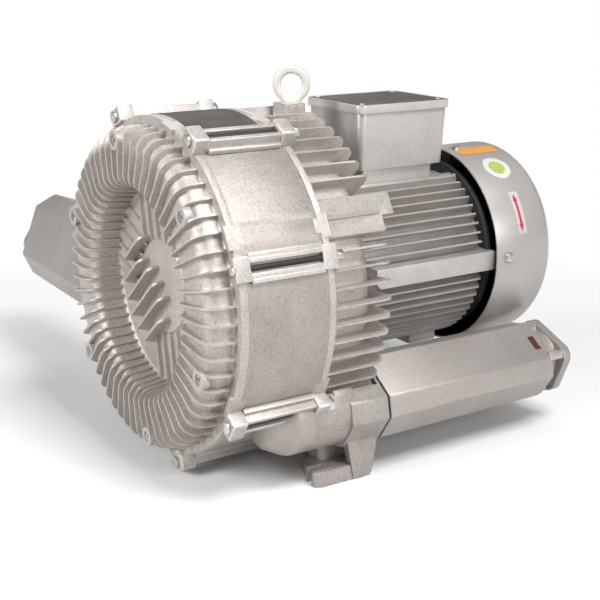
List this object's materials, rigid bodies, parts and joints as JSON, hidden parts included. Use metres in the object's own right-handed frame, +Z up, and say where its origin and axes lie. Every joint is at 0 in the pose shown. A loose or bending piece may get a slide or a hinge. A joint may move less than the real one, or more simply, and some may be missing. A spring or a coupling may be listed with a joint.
{
  "type": "side channel blower",
  "caption": "Two-stage side channel blower: finned cast casing, flange motor with terminal box and fan cowl, lifting eye, and a silencer on each of two foot manifolds.",
  "frame": {"origin": "on the floor, midway between the two rear foot holes, below the shaft", "axes": "+Z up, +Y along the shaft from the front cover towards the fan cowl, +X towards the near foot"},
  "size_m": [1.0025, 0.7668, 0.6565],
  "materials": {
    "cast_casing": "fine sand cast, satin",
    "cast_motor": "die cast, satin",
    "cast_silencer": "sand cast, satin",
    "impeller_alu": "machined",
    "steel_bright": "turned",
    "steel_zinc": "zinc plated",
    "steel_core": "laminated",
    "copper": "varnished wire",
    "seal_rubber": "matt",
    "cowl_sheet": "painted sheet, satin",
    "lid_paint": "painted, satin",
    "lid_dark": "fine grain",
    "plastic_dark": "moulded",
    "board_plastic": "moulded",
    "brass_stud": "turned",
    "foam": "open cell"
  },
  "bodies": {
    "casing": {"front_cover": "cast_casing", "cover_screws": "steel_zinc", "drum": "cast_casing", "rear_housing": "cast_casing", "interstage_seal": "seal_rubber", "shaft_seal": "seal_rubber", "front_bearing_outer": "steel_bright", "front_bearing_balls": "steel_bright", "rear_bearing_outer": "steel_bright", "rear_bearing_balls": "steel_bright", "stator_core": "steel_core", "stator_windings": "copper", "motor_frame": "cast_motor", "end_shield": "cast_motor", "fan_cowl": "cowl_sheet", "cowl_screws": "steel_zinc", "terminal_box": "cast_motor", "terminal_lid": "lid_paint", "lid_panel": "lid_dark", "lid_screws": "steel_zinc", "terminal_board": "board_plastic", "terminal_studs": "brass_stud", "entry_plug": "plastic_dark", "cable_gland": "plastic_dark", "eye_bolt": "steel_zinc", "tie_bolts": "steel_zinc", "tie_nuts": "steel_zinc", "near_manifold": "cast_silencer", "near_dome": "cast_silencer", "far_manifold": "cast_silencer", "drain_screw": "steel_zinc", "near_gasket": "seal_rubber", "near_silencer": "cast_silencer", "near_foam": "foam", "near_liner": "steel_zinc", "near_end_port": "cast_silencer", "far_gasket": "seal_rubber", "far_silencer": "cast_silencer", "far_foam": "foam", "far_liner": "steel_zinc", "far_end_port": "cast_silencer"},
    "rotor": {"first_impeller": "impeller_alu", "second_impeller": "impeller_alu", "spacer_sleeve": "steel_bright", "impeller_nut": "steel_zinc", "impeller_keys": "steel_bright", "shaft": "steel_bright", "front_bearing_inner": "steel_bright", "rear_bearing_inner": "steel_bright", "rotor_core": "steel_core", "rotor_end_rings": "impeller_alu", "cooling_fan": "plastic_dark", "fan_clip": "steel_bright"}
  },
  "joints": [
    {"name": "rotor_spin", "type": "hinge", "parent": "casing", "child": "rotor", "pos_m": [0, 0, 0.31], "axis": [0, 1, 0], "continuous": true}
  ]
}
